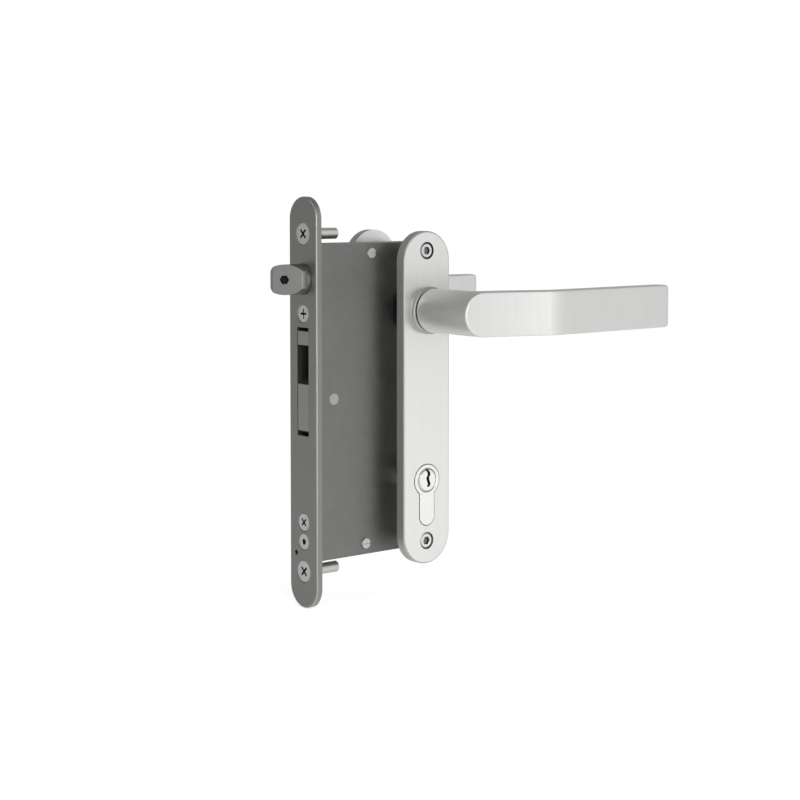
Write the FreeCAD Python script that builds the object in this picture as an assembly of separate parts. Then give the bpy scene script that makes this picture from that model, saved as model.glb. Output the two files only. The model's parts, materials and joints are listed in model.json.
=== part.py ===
import FreeCAD, Part
import math
import os

# Mortise lock for a swing gate made of a 40 mm deep hollow profile.
# Millimetres. X runs from the gate's edge into the gate, -Y is the front, Z is up.
# The origin is on the back plane of the faceplate, midway between the two gate fixing screws.

V = FreeCAD.Vector

# Driving dimensions of the faceplate
FACEPLATE_WIDTH = 24.0
FACEPLATE_THICKNESS = 3.5
FACEPLATE_EDGE = 0.8
FACEPLATE_END = 19.5
SEAT_RECESS = 0.5
PIN_HOLE_DIAMETER = 2.6
PIN_HOLE_Y = 6.4
PIN_HOLE_DROP = 128.2

# Standard distances of the lock
BACKSET = 60.0
SPINDLE_Z = 48.0
CYLINDER_DROP = 92.0
LATCH_RISE = 17.7
SHIELD_SCREW_RISE = 32.0
SHIELD_SCREW_DROP = 125.0
CYLINDER_Z = SPINDLE_Z - CYLINDER_DROP
LATCH_Z = SPINDLE_Z + LATCH_RISE
SHIELD_SCREW_UPPER_Z = SPINDLE_Z + SHIELD_SCREW_RISE
SHIELD_SCREW_LOWER_Z = SPINDLE_Z - SHIELD_SCREW_DROP

# Clearances
RUNNING = 0.05
SLIP = 0.1
FREE = 0.3
WIDE = 0.5

# Lock case, which reaches a margin past the shield screws that go through it
CASE_TOP_MARGIN = 4.2
CASE_BOTTOM_MARGIN = 6.0
CASE_THICKNESS = 20.0
CASE_WALL = 1.5
CASE_FRONT_WALL = 3.5
CASE_CORNER = 3.0
CASE_TOP = SHIELD_SCREW_UPPER_Z + CASE_TOP_MARGIN
CASE_BOTTOM = SHIELD_SCREW_LOWER_Z - CASE_BOTTOM_MARGIN
CASE_HALF = CASE_THICKNESS / 2
INNER_HALF = CASE_HALF - CASE_WALL
CASE_FRONT = -SEAT_RECESS
CASE_INNER_FRONT = CASE_FRONT + CASE_FRONT_WALL

# Screws
FIXING_SHANK = 6.0
FIXING_HEAD = 11.3
FIXING_LENGTH = 21.5
FIXING_GAP = 2.3
FIXING_SPACING = 2 * (CASE_TOP + FIXING_GAP + FIXING_SHANK / 2)
FACEPLATE_HEIGHT = FIXING_SPACING + 2 * FACEPLATE_END
CASE_SCREW_SHANK = 5.0
CASE_SCREW_HEAD_UPPER = 9.3
CASE_SCREW_HEAD_LOWER = 8.5
CASE_SCREW_LENGTH = 11.0
CASE_SCREW_HEX = 3.0
CASE_SCREW_UPPER_DROP = 0.5
CASE_SCREW_LOWER_DROP = 121.6
CASE_SCREW_UPPER_Z = SPINDLE_Z - CASE_SCREW_UPPER_DROP
CASE_SCREW_LOWER_Z = SPINDLE_Z - CASE_SCREW_LOWER_DROP
PIN_HOLE_Z = SPINDLE_Z - PIN_HOLE_DROP
CYLINDER_SCREW_SHANK = 5.0
CYLINDER_SCREW_HEAD = 9.3
PLATE_HEAD_SUNK = 0.3
PLATE_HEAD_LAND = 0.5
PLATE_HEAD_FACE = -FACEPLATE_THICKNESS + PLATE_HEAD_SUNK
RECESS_SHARE = 0.55
RECESS_DEPTH_SHARE = 0.8
RECESS_ARM_SHARE = 0.1
COVER_SCREW_SHANK = 3.0
COVER_SCREW_HEAD = 5.4
COVER_SCREW_HEAD_HEIGHT = 1.4
COVER_SCREW_SLOT = 0.8
COVER_BOSS_RADIUS = 3.2
COVER_BOSS_INSET = 5.3
COVER_BOSS_LIFT = 6.0
COVER_BOSS_UPPER_X = 34.0
COVER_BOSS_LOWER_X = 30.0

# Euro profile cylinder
PROFILE_ROUND = 17.0
PROFILE_LOBE_WIDTH = 10.0
PROFILE_HEIGHT = 33.0
PROFILE_DROP = PROFILE_HEIGHT - PROFILE_ROUND / 2
CYLINDER_PROUD = 0.3
CYLINDER_SCREW_DROP = 19.2
PLUG_DIAMETER = 13.0
PLUG_PROUD = 0.5
KEYWAY_TOP = 6.1
KEYWAY_HEIGHT = 9.6
KEYWAY_WIDTH = 1.9
KEYWAY_DEPTH = 18.0
KEYWAY_WAVE = (-0.7, 0.6, 0.9, -0.1, 0.3, 1.0, 0.4)
CAM_SWEEP = 15.3
CAM_WIDTH = 9.8
CAM_NOSE = 8.0
CAM_RING = 8.3
CAM_GAP = 0.3
CAM_TIP_GAP = 0.4
PLUG_TAIL = 8.0
CAM_HALF = CAM_WIDTH / 2
CHEEK_Y = CAM_HALF + CAM_GAP

# Latch bolt
LATCH_DIAMETER = 16.0
LATCH_THROW = 16.0
LATCH_HOLE_GAP = 0.25
LATCH_REAR = 9.0
LATCH_FLAT = 6.7
LATCH_ROUND_PROUD = 2.6
LATCH_BEVEL_PROUD = 5.1
LATCH_BEVEL = 45.0
LATCH_HEX = 4.4
LATCH_HEX_DEPTH = 5.5
LATCH_TIP_X = -FACEPLATE_THICKNESS - LATCH_THROW
STEM_DIAMETER = 6.0
STEM_FRONT = -10.0
SPRING_POCKET_FRONT = -4.0
SPRING_POCKET_DIAMETER = 11.0
LATCH_SPRING_DIAMETER = 10.0
LATCH_SPRING_WIRE = 1.2
LATCH_SPRING_TURNS = 9
COIL_STEPS = 12
RIB_FRONT = 33.5
RIB_THICKNESS = 2.5
RIB_MARGIN = 0.2
RIB_REAR = RIB_FRONT + RIB_THICKNESS

# Follower and its arm
ARM_REST = -20.0
ARM_LENGTH = 27.0
ARM_WIDTH = 6.0
ARM_TIP_CHAMFER = 1.0
ARM_FLARE = 8.75
HUB_RADIUS = 12.5
HUB_JOURNAL = 8.0
BUSH_WALL = 2.0
BUSH_LIP = 1.5
BUSH_OUTER = HUB_JOURNAL + BUSH_WALL
BUSH_FLANGE = BUSH_OUTER + BUSH_LIP
BUSH_FLANGE_THICKNESS = 0.8
HUB_SPRING_INNER = 8.7
HUB_SPRING_WIRE = 1.2
HUB_SPRING_TURNS = 2.5

# Latch carriage: a fork over the follower's arm, with a cross pin that the arm pushes
BRIDGE_FRONT = RIB_REAR + WIDE
BRIDGE_LENGTH = 4.5
CARRIAGE_BOTTOM = SPINDLE_Z + HUB_RADIUS + WIDE
CARRIAGE_MARGIN = 2.7
CHEEK_INNER = 4.0
ARM_HALF = CHEEK_INNER - WIDE
CARRIAGE_SIDE_GAP = 0.7
CARRIAGE_HALF = INNER_HALF - CARRIAGE_SIDE_GAP
CARRIAGE_SHOULDER = 5.8
DRIVE_PIN_DIAMETER = 4.0
DRIVE_PIN_RISE = 24.3
DRIVE_PIN_COVER = 1.2
ARM_LEAN = math.radians(ARM_REST)
ARM_CENTRE_LEAD = DRIVE_PIN_RISE * math.tan(ARM_LEAN)
ARM_SURFACE_LEAD = (ARM_WIDTH + DRIVE_PIN_DIAMETER) / 2 / math.cos(ARM_LEAN)
DRIVE_PIN_X = BACKSET + ARM_CENTRE_LEAD + ARM_SURFACE_LEAD + FREE
DRIVE_PIN_Z = SPINDLE_Z + DRIVE_PIN_RISE
CARRIAGE_REAR = DRIVE_PIN_X + CARRIAGE_MARGIN
CASE_INNER_REAR = CARRIAGE_REAR + LATCH_THROW + FREE
CASE_DEPTH = CASE_INNER_REAR + CASE_WALL
COVER_BOSSES = ((COVER_BOSS_UPPER_X, CASE_TOP - COVER_BOSS_INSET),
                (CASE_INNER_REAR - COVER_BOSS_INSET, CASE_TOP - COVER_BOSS_INSET),
                (COVER_BOSS_LOWER_X, CASE_BOTTOM + COVER_BOSS_LIFT),
                (CASE_INNER_REAR - COVER_BOSS_INSET, CASE_BOTTOM + COVER_BOSS_LIFT))

# Spindle, levers and collars
SPINDLE_SIZE = 8.0
SPINDLE_LENGTH = 116.0
PROFILE_DEPTH = 40.0
SHIELD_THICKNESS = 6.0
CYLINDER_LENGTH = PROFILE_DEPTH + 2 * (SHIELD_THICKNESS + CYLINDER_PROUD)
COLLAR_DIAMETER = 25.4
COLLAR_HEIGHT = 4.2
COLLAR_EDGE = 0.9
WASHER_DIAMETER = 22.0
WASHER_THICKNESS = 0.6
LEVER_HEIGHT = 23.6
LEVER_THICKNESS = 10.0
LEVER_REACH = 127.3
LEVER_KNUCKLE_OUT = 70.7
LEVER_BEND_REACH = 39.0
LEVER_BEND_OUT = 86.3
LEVER_TIP_OUT = 85.2
LEVER_SWOOP = 2.0
LEVER_TIP_BULGE = 1.5
LEVER_THINNING = 1.0
LEVER_INNER_BEND = 2.0
LEVER_INNER_START = 4.7
LEVER_CORNER = 2.0
JOURNAL_DIAMETER = 18.0
GRUB_DIAMETER = 6.0
GRUB_HEX = 3.0
GRUB_HEX_DEPTH = 2.5
GRUB_OUT = 45.0

# Shields
SHIELD_WIDTH = 32.0
SHIELD_HEIGHT = 180.0
SHIELD_TOP = SPINDLE_Z + 42.5
SHIELD_EDGE = 0.9
SHIELD_SCREW_SHANK = 5.0
SHIELD_SCREW_HEAD = 8.5
SHIELD_SCREW_SINK = 9.4
SHIELD_SCREW_LENGTH = 36.0
SHIELD_SCREW_HEX = 4.0
SHIELD_HEX_DEPTH = 2.4
SHIELD_HEAD_HEIGHT = 3.7
SHIELD_HEAD_EDGE = 0.7
SHIELD_HEAD_SUNK = 0.3
SLEEVE_DIAMETER = 6.4
SLEEVE_FRONT = -4.0
SLEEVE_GAP = 0.4
SLEEVE_FLOOR = 1.0
SHIELD_PROFILE_GAP = 0.4
CASE_PROFILE_GAP = 0.25

# Hook bolt and its drive
HOOK_SLOT_WIDTH = 10.0
HOOK_SLOT_TOP = 40.2
HOOK_SLOT_BOTTOM = -17.2
HOOK_THICKNESS = 9.2
HOOK_PIVOT_X = 9.5
HOOK_PIVOT_Z = 2.3
HOOK_PIVOT_DIAMETER = 6.0
HOOK_TURN = 90.0
HOOK_FRONT = HOOK_PIVOT_X + FACEPLATE_THICKNESS
HOOK_BEAK_TOP = 36.0
HOOK_BEAK_HEIGHT = 7.4
HOOK_BODY_TOP = 8.0
HOOK_BODY_BOTTOM = 16.6
HOOK_MOUTH_LIP = 7.5
HOOK_MOUTH_RISE = 4.3
HOOK_MOUTH_DEPTH = 11.0
HOOK_BACK = 6.65
HOOK_HUB = 11.0
HOOK_HUB_START = -15.0
HOOK_HUB_END = 10.0
HOOK_LUG = 5.0
HOOK_LUG_START = -110.0
HOOK_LUG_END = 20.0
HOOK_HEEL_ANGLE = -75.0
HOOK_MOUTH_SAG_X = 4.0
HOOK_MOUTH_SAG_Z = 1.6
HOOK_TAIL_RADIUS = 17.0
TAIL_PIN_DIAMETER = 4.0
SPACER_DIAMETER = 12.0
SLOT_RUNOUT = 2.3
SLIDE_THICKNESS = 2.5
SLIDE_GAP = 0.6
SLIDE_FRONT_X = 28.5
SLIDE_REAR_X = 48.0
SLIDE_TOP = -3.0
SLIDE_BOTTOM = -60.0
SLIDE_ARM_END = 17.0
SLIDE_ARM_HALF = 6.0
SLIDE_SLOT_PLAY = 0.6
GUIDE_PIN_DIAMETER = 5.0
GUIDE_HEAD_DIAMETER = 8.0
GUIDE_HEAD_THICKNESS = 0.9
GUIDE_X = 35.0
GUIDE_UPPER_Z = -8.0
GUIDE_LOWER_Z = -34.0
TALON_WIDTH = 3.3
TALON_HEIGHT = 14.0


# Basic shapes

def block(x0, x1, y0, y1, z0, z1):
    return Part.makeBox(x1 - x0, y1 - y0, z1 - z0, V(x0, y0, z0))


def rod_x(x0, x1, y, z, radius):
    return Part.makeCylinder(radius, x1 - x0, V(x0, y, z), V(1, 0, 0))


def rod_y(y0, y1, x, z, radius):
    return Part.makeCylinder(radius, y1 - y0, V(x, y0, z), V(0, 1, 0))


def rod_z(z0, z1, x, y, radius):
    return Part.makeCylinder(radius, z1 - z0, V(x, y, z0), V(0, 0, 1))


def ring_y(y0, y1, x, z, outer, inner):
    return rod_y(y0, y1, x, z, outer).cut(rod_y(y0, y1, x, z, inner))


def plate_y(points, y0, y1):
    """Plate lying in XZ, from straight-sided (x, z) points."""
    corners = [V(x, y0, z) for x, z in points]
    face = Part.Face(Part.makePolygon(corners + corners[:1]))
    return face.extrude(V(0, y1 - y0, 0))


def slot_y(y0, y1, x, z_low, z_high, half):
    """Upright round-ended slot."""
    body = block(x - half, x + half, y0, y1, z_low, z_high)
    low = rod_y(y0, y1, x, z_low, half)
    high = rod_y(y0, y1, x, z_high, half)
    return body.multiFuse([low, high])


def slot_x(x0, x1, z_low, z_high, half):
    """Upright round-ended slot cut along X on the middle plane."""
    body = block(x0, x1, -half, half, z_low + half, z_high - half)
    low = rod_x(x0, x1, 0, z_low + half, half)
    high = rod_x(x0, x1, 0, z_high - half, half)
    return body.multiFuse([low, high])


def hexagon(size, depth, start, direction, side):
    """Hexagonal prism, size across flats. direction is its axis, side points to a corner, both unit long."""
    corner = size / math.sqrt(3)
    across = direction.cross(side)
    points = []
    for k in range(6):
        turn = math.radians(60 * k)
        points.append(start + side * corner * math.cos(turn) + across * corner * math.sin(turn))
    face = Part.Face(Part.makePolygon(points + points[:1]))
    return face.extrude(direction * depth)


def mirrored(shape):
    """The same piece for the rear side."""
    return shape.mirror(V(0, 0, 0), V(0, 1, 0))


def polar(centre_x, centre_z, radius, degrees, y=0.0):
    turn = math.radians(degrees)
    return V(centre_x + radius * math.cos(turn), y, centre_z + radius * math.sin(turn))


def arc_about(centre_x, centre_z, radius, start, end, y=0.0):
    middle = (start + end) / 2
    points = [polar(centre_x, centre_z, radius, a, y) for a in (start, middle, end)]
    return Part.Arc(*points).toShape()


def edges_where(shape, test):
    return [edge for edge in shape.Edges if test(edge.BoundBox)]


def coil(radius, wire, length, turns, start, direction):
    """Coil spring of square wire, lofted through sections. radius is that of the wire's centre line."""
    rise = length - wire
    half = wire / 2
    steps = int(math.ceil(turns * COIL_STEPS))
    sections = []
    for k in range(steps + 1):
        share = k / steps
        turn = 2 * math.pi * turns * share
        out = V(math.cos(turn), math.sin(turn), 0)
        centre = out * radius + V(0, 0, half + rise * share)
        up = V(0, 0, half)
        corners = [centre - out * half - up, centre + out * half - up,
                   centre + out * half + up, centre - out * half + up]
        sections.append(Part.makePolygon(corners + corners[:1]))
    spring = Part.makeLoft(sections, True, True)
    spring.Placement = FreeCAD.Placement(start, FreeCAD.Rotation(V(0, 0, 1), direction))
    return spring


# Fasteners

def cross_recess(x, z, size, depth, degrees):
    """Cross-shaped driver recess opening towards -X."""
    arm = size / 2
    half = size * RECESS_ARM_SHARE
    bars = [block(x, x + depth, -arm, arm, z - half, z + half),
            block(x, x + depth, -half, half, z - arm, z + arm)]
    cross = bars[0].fuse(bars[1])
    cross.rotate(V(x, 0, z), V(1, 0, 0), degrees)
    return cross


def plate_screw_blank(z, shank, head, length):
    """Countersunk screw without its recess, its head a little below the faceplate's front."""
    front = PLATE_HEAD_FACE
    cone_front = front + PLATE_HEAD_LAND
    cone_rear = cone_front + (head - shank) / 2
    profile = [V(front, 0, 0), V(front, head / 2, 0), V(cone_front, head / 2, 0), V(cone_rear, shank / 2, 0),
               V(front + length - WIDE, shank / 2, 0), V(front + length, shank / 2 - WIDE, 0),
               V(front + length, 0, 0)]
    face = Part.Face(Part.makePolygon(profile + profile[:1]))
    screw = face.revolve(V(0, 0, 0), V(1, 0, 0), 360)
    screw.translate(V(0, 0, z))
    return screw


def plate_screw(z, shank, head, length, recess_turn):
    """Countersunk screw with a cross recess, turned by so many degrees."""
    depth = (head - shank) / 2 * RECESS_DEPTH_SHARE
    recess = cross_recess(PLATE_HEAD_FACE, z, head * RECESS_SHARE, depth, recess_turn)
    return plate_screw_blank(z, shank, head, length).cut(recess)


def plate_screw_hole(z, shank, head):
    """Countersink with an eased mouth, and clearance hole, of a plate screw."""
    front = -FACEPLATE_THICKNESS
    wide = head / 2 + SLIP
    narrow = shank / 2 + SLIP
    cone_front = PLATE_HEAD_FACE + PLATE_HEAD_LAND
    mouth = Part.makeCone(wide + PLATE_HEAD_SUNK, wide, PLATE_HEAD_SUNK, V(front, 0, z), V(1, 0, 0))
    land = rod_x(PLATE_HEAD_FACE, cone_front, 0, z, wide)
    cone = Part.makeCone(wide, narrow, (head - shank) / 2, V(cone_front, 0, z), V(1, 0, 0))
    return mouth.multiFuse([land, cone, rod_x(front, CASE_INNER_FRONT + WIDE, 0, z, narrow)])


def fixing_places():
    return (FIXING_SPACING / 2, -FIXING_SPACING / 2)


def make_gate_fixing_screws():
    return [plate_screw(z, FIXING_SHANK, FIXING_HEAD, FIXING_LENGTH, 45) for z in fixing_places()]


def make_case_screws():
    upper = plate_screw(CASE_SCREW_UPPER_Z, CASE_SCREW_SHANK, CASE_SCREW_HEAD_UPPER, CASE_SCREW_LENGTH, 0)
    lower = plate_screw_blank(CASE_SCREW_LOWER_Z, CASE_SCREW_SHANK, CASE_SCREW_HEAD_LOWER, CASE_SCREW_LENGTH)
    socket_depth = (CASE_SCREW_HEAD_LOWER - CASE_SCREW_SHANK) / 2
    mouth = V(PLATE_HEAD_FACE, 0, CASE_SCREW_LOWER_Z)
    lower = lower.cut(hexagon(CASE_SCREW_HEX, socket_depth, mouth, V(1, 0, 0), V(0, 0, 1)))
    return [upper, lower]


def cylinder_screw_z():
    return CYLINDER_Z - CYLINDER_SCREW_DROP


def make_cylinder_screw():
    length = FACEPLATE_THICKNESS - PLATE_HEAD_SUNK + BACKSET + PROFILE_LOBE_WIDTH / 2 - WIDE
    return plate_screw(cylinder_screw_z(), CYLINDER_SCREW_SHANK, CYLINDER_SCREW_HEAD, length, 45)


def make_cover_screws():
    top = -CASE_HALF - COVER_SCREW_HEAD_HEIGHT
    floor = -CASE_HALF - COVER_SCREW_HEAD_HEIGHT / 2
    half_slot = COVER_SCREW_SLOT / 2
    screws = []
    for x, z in COVER_BOSSES:
        head = rod_y(top, -CASE_HALF, x, z, COVER_SCREW_HEAD / 2)
        shank = rod_y(-CASE_HALF, INNER_HALF - CASE_WALL, x, z, COVER_SCREW_SHANK / 2)
        slot = block(x - COVER_SCREW_HEAD, x + COVER_SCREW_HEAD, top, floor, z - half_slot, z + half_slot)
        screws.append(head.fuse(shank).cut(slot))
    return screws


# Faceplate and case

def make_faceplate():
    half = FACEPLATE_WIDTH / 2
    top = FACEPLATE_HEIGHT / 2
    plate = slot_x(-FACEPLATE_THICKNESS, 0, -top, top, half)
    plate = plate.removeSplitter()
    rim = edges_where(plate, lambda b: b.XMax < -FACEPLATE_THICKNESS + 0.01)
    plate = plate.makeFillet(FACEPLATE_EDGE, rim)
    cuts = [plate_screw_hole(z, FIXING_SHANK, FIXING_HEAD) for z in fixing_places()]
    cuts.append(plate_screw_hole(CASE_SCREW_UPPER_Z, CASE_SCREW_SHANK, CASE_SCREW_HEAD_UPPER))
    cuts.append(plate_screw_hole(CASE_SCREW_LOWER_Z, CASE_SCREW_SHANK, CASE_SCREW_HEAD_LOWER))
    cuts.append(plate_screw_hole(cylinder_screw_z(), CYLINDER_SCREW_SHANK, CYLINDER_SCREW_HEAD))
    front = -FACEPLATE_THICKNESS - WIDE
    cuts.append(rod_x(front, WIDE, 0, LATCH_Z, LATCH_DIAMETER / 2 + LATCH_HOLE_GAP))
    cuts.append(rod_x(front, WIDE, PIN_HOLE_Y, PIN_HOLE_Z, PIN_HOLE_DIAMETER / 2))
    half_slot = HOOK_SLOT_WIDTH / 2
    cuts.append(block(front, WIDE, -half_slot, half_slot, HOOK_SLOT_BOTTOM, HOOK_SLOT_TOP))
    cuts.append(block(-SEAT_RECESS, WIDE, -CASE_HALF - SLIP, CASE_HALF + SLIP,
                      CASE_BOTTOM - SLIP, CASE_TOP + SLIP))
    return plate.cut(cuts)


def euro_prism(y0, y1, gap):
    """Round part and lobe of the euro profile, widened by a gap all round."""
    half = PROFILE_LOBE_WIDTH / 2
    foot = CYLINDER_Z - PROFILE_DROP + half
    barrel = rod_y(y0, y1, BACKSET, CYLINDER_Z, PROFILE_ROUND / 2 + gap)
    lobe = block(BACKSET - half - gap, BACKSET + half + gap, y0, y1, foot, CYLINDER_Z)
    end = rod_y(y0, y1, BACKSET, foot, half + gap)
    return barrel.multiFuse([lobe, end]).removeSplitter()


def side_holes(y0, y1):
    """Holes that go through both broad sides of the case."""
    cuts = [euro_prism(y0, y1, CASE_PROFILE_GAP)]
    cuts.append(rod_y(y0, y1, BACKSET, SPINDLE_Z, BUSH_OUTER + RUNNING))
    for z in (SHIELD_SCREW_UPPER_Z, SHIELD_SCREW_LOWER_Z):
        cuts.append(rod_y(y0, y1, BACKSET, z, SLEEVE_DIAMETER / 2 + SLEEVE_GAP))
    cuts.append(rod_y(y0, y1, HOOK_PIVOT_X, HOOK_PIVOT_Z, HOOK_PIVOT_DIAMETER / 2 + RUNNING))
    return cuts


def case_rear_edges(box):
    """The two edges that run across the case's thickness at its rear."""
    return edges_where(box, lambda b: b.XMin > CASE_DEPTH - FREE and b.YLength > b.ZLength)


def make_case_body():
    shell = block(CASE_FRONT, CASE_DEPTH, -INNER_HALF, CASE_HALF, CASE_BOTTOM, CASE_TOP)
    shell = shell.makeFillet(CASE_CORNER, case_rear_edges(shell))
    hollow = block(CASE_INNER_FRONT, CASE_INNER_REAR, -CASE_HALF, INNER_HALF,
                   CASE_BOTTOM + CASE_WALL, CASE_TOP - CASE_WALL)
    body = shell.cut(hollow)
    bosses = [rod_y(-INNER_HALF, INNER_HALF, x, z, COVER_BOSS_RADIUS) for x, z in COVER_BOSSES]
    rib_half = LATCH_DIAMETER / 2 + RIB_MARGIN
    bosses.append(block(RIB_FRONT, RIB_REAR, -INNER_HALF + RUNNING, INNER_HALF,
                        LATCH_Z - rib_half, LATCH_Z + rib_half))
    body = body.multiFuse(bosses)
    cuts = side_holes(INNER_HALF - WIDE, CASE_HALF + WIDE)
    cuts.extend(rod_y(-CASE_HALF, CASE_HALF, BACKSET, z, SLEEVE_DIAMETER / 2 + SLIP)
                for z in shield_screw_places())
    cuts.extend(rod_y(-CASE_HALF, INNER_HALF - CASE_WALL + FREE, x, z, COVER_SCREW_SHANK / 2 + RUNNING)
                for x, z in COVER_BOSSES)
    for z in (GUIDE_UPPER_Z, GUIDE_LOWER_Z):
        cuts.append(rod_y(INNER_HALF - WIDE, CASE_HALF + WIDE, GUIDE_X, z, GUIDE_PIN_DIAMETER / 2 + RUNNING))
    front = CASE_FRONT - WIDE
    back = CASE_INNER_FRONT + WIDE
    cuts.append(rod_x(front, back, 0, LATCH_Z, LATCH_DIAMETER / 2 + SLIP))
    cuts.append(rod_x(RIB_FRONT - WIDE, RIB_REAR + WIDE, 0, LATCH_Z, STEM_DIAMETER / 2 + FREE))
    for z in (CASE_SCREW_UPPER_Z, CASE_SCREW_LOWER_Z):
        cuts.append(rod_x(front, back, 0, z, CASE_SCREW_SHANK / 2 + RUNNING))
    cuts.append(rod_x(front, back, 0, cylinder_screw_z(), CYLINDER_SCREW_SHANK / 2 + FREE))
    half_slot = HOOK_SLOT_WIDTH / 2
    cuts.append(block(front, back, -half_slot, half_slot,
                      HOOK_SLOT_BOTTOM - SLOT_RUNOUT, HOOK_SLOT_TOP + SLOT_RUNOUT))
    return body.cut(cuts)


def make_case_cover():
    cover = block(CASE_FRONT, CASE_DEPTH, -CASE_HALF, -INNER_HALF, CASE_BOTTOM, CASE_TOP)
    cover = cover.makeFillet(CASE_CORNER, case_rear_edges(cover))
    cuts = side_holes(-CASE_HALF - WIDE, -INNER_HALF + WIDE)
    cuts.extend(rod_y(-CASE_HALF - WIDE, -INNER_HALF + WIDE, x, z, COVER_SCREW_SHANK / 2 + SLIP)
                for x, z in COVER_BOSSES)
    return cover.cut(cuts)


# Euro cylinder

def make_cylinder_body():
    half = CYLINDER_LENGTH / 2
    body = euro_prism(-half, half, 0)
    sweep = CAM_SWEEP + CAM_TIP_GAP
    middle = block(BACKSET - sweep, BACKSET + sweep, -CHEEK_Y, CHEEK_Y,
                   CYLINDER_Z - sweep, CYLINDER_Z + sweep)
    bore = rod_y(-half - WIDE, half + WIDE, BACKSET, CYLINDER_Z, PLUG_DIAMETER / 2 + RUNNING)
    thread = rod_x(BACKSET - PROFILE_ROUND, BACKSET + PROFILE_ROUND, 0, cylinder_screw_z(),
                   CYLINDER_SCREW_SHANK / 2 + RUNNING)
    return body.cut([middle, bore, thread])


def keyway(face_y):
    """Wavy key slot, cut from the plug's face inwards. The wave is read from its top down."""
    step = KEYWAY_HEIGHT / (len(KEYWAY_WAVE) - 1)
    half = KEYWAY_WIDTH / 2
    middle = [(BACKSET + shift, CYLINDER_Z + KEYWAY_TOP - step * k) for k, shift in enumerate(KEYWAY_WAVE)]
    left = [(x - half, z) for x, z in middle]
    right = [(x + half, z) for x, z in reversed(middle)]
    return plate_y(left + right, face_y - WIDE, face_y + KEYWAY_DEPTH)


def make_plug_front():
    face_y = -CYLINDER_LENGTH / 2 - PLUG_PROUD
    plug = rod_y(face_y, -CHEEK_Y, BACKSET, CYLINDER_Z, PLUG_DIAMETER / 2)
    rim = edges_where(plug, lambda b: b.YMax < face_y + 0.01)
    plug = plug.makeChamfer(PLUG_PROUD, rim)
    tail = rod_y(-CHEEK_Y, -SLIP, BACKSET, CYLINDER_Z, PLUG_TAIL / 2)
    return plug.fuse(tail).cut(keyway(face_y))


def make_cylinder_cam():
    ring = rod_y(-CAM_HALF, CAM_HALF, BACKSET, CYLINDER_Z, CAM_RING)
    nose = block(BACKSET - CAM_NOSE / 2, BACKSET + CAM_NOSE / 2, -CAM_HALF, CAM_HALF,
                 CYLINDER_Z - CAM_SWEEP, CYLINDER_Z)
    nose = nose.common(rod_y(-CAM_HALF, CAM_HALF, BACKSET, CYLINDER_Z, CAM_SWEEP))
    bore = rod_y(-CAM_WIDTH, CAM_WIDTH, BACKSET, CYLINDER_Z, PLUG_TAIL / 2 + RUNNING)
    return ring.fuse(nose).cut(bore)


# Latch

def latch_bevel_x(depth):
    """X of the latch's bevel where it lies this far in front of the middle plane."""
    start = -FACEPLATE_THICKNESS - LATCH_BEVEL_PROUD
    return start - (LATCH_FLAT - depth) / math.tan(math.radians(LATCH_BEVEL))


def make_latch_bolt():
    radius = LATCH_DIAMETER / 2
    low = LATCH_Z - radius - 1
    height = LATCH_DIAMETER + 2
    bolt = rod_x(LATCH_TIP_X, LATCH_REAR, 0, LATCH_Z, radius)
    shoulder = -FACEPLATE_THICKNESS - LATCH_ROUND_PROUD
    beyond = LATCH_TIP_X - 1
    outline = [(shoulder, -radius - 1), (shoulder, -LATCH_FLAT), (latch_bevel_x(LATCH_FLAT), -LATCH_FLAT),
               (latch_bevel_x(-LATCH_FLAT), LATCH_FLAT), (latch_bevel_x(-LATCH_FLAT), -radius - 1)]
    corners = [V(x, y, low) for x, y in outline]
    wedge = Part.Face(Part.makePolygon(corners + corners[:1])).extrude(V(0, 0, height))
    rear_flat = block(beyond, shoulder, LATCH_FLAT, radius + 1, low, low + height)
    lean = math.radians(LATCH_BEVEL)
    inward = V(math.sin(lean), math.cos(lean), 0)
    along = V(math.cos(lean), -math.sin(lean), 0)
    mouth = V(latch_bevel_x(0), 0, LATCH_Z)
    socket = hexagon(LATCH_HEX, LATCH_HEX_DEPTH + WIDE, mouth - inward * WIDE, inward, along)
    pocket = rod_x(SPRING_POCKET_FRONT, LATCH_REAR + 1, 0, LATCH_Z, SPRING_POCKET_DIAMETER / 2)
    stem_bore = rod_x(STEM_FRONT, LATCH_REAR, 0, LATCH_Z, STEM_DIAMETER / 2 + RUNNING)
    return bolt.cut([wedge, rear_flat, socket, pocket, stem_bore])


def bridge_rear():
    return BRIDGE_FRONT + BRIDGE_LENGTH


def make_latch_stem():
    return rod_x(STEM_FRONT, bridge_rear(), 0, LATCH_Z, STEM_DIAMETER / 2)


def make_latch_carriage():
    top = DRIVE_PIN_Z + DRIVE_PIN_DIAMETER / 2 + DRIVE_PIN_COVER
    shoulder = LATCH_Z + CARRIAGE_SHOULDER
    profile = [(BRIDGE_FRONT, CARRIAGE_BOTTOM), (CARRIAGE_REAR, CARRIAGE_BOTTOM), (CARRIAGE_REAR, top),
               (DRIVE_PIN_X - DRIVE_PIN_DIAMETER, top), (bridge_rear() + BRIDGE_LENGTH / 2, shoulder),
               (BRIDGE_FRONT, shoulder)]
    fork = plate_y(profile, -CARRIAGE_HALF, CARRIAGE_HALF)
    window = block(bridge_rear(), CARRIAGE_REAR + 1, -CHEEK_INNER, CHEEK_INNER, CARRIAGE_BOTTOM - 1, top + 1)
    bore = rod_x(BRIDGE_FRONT - 1, bridge_rear() + 1, 0, LATCH_Z, STEM_DIAMETER / 2 + RUNNING)
    cross = rod_y(-CARRIAGE_HALF - 1, CARRIAGE_HALF + 1, DRIVE_PIN_X, DRIVE_PIN_Z,
                  DRIVE_PIN_DIAMETER / 2 + RUNNING)
    return fork.cut([window, bore, cross])


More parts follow.
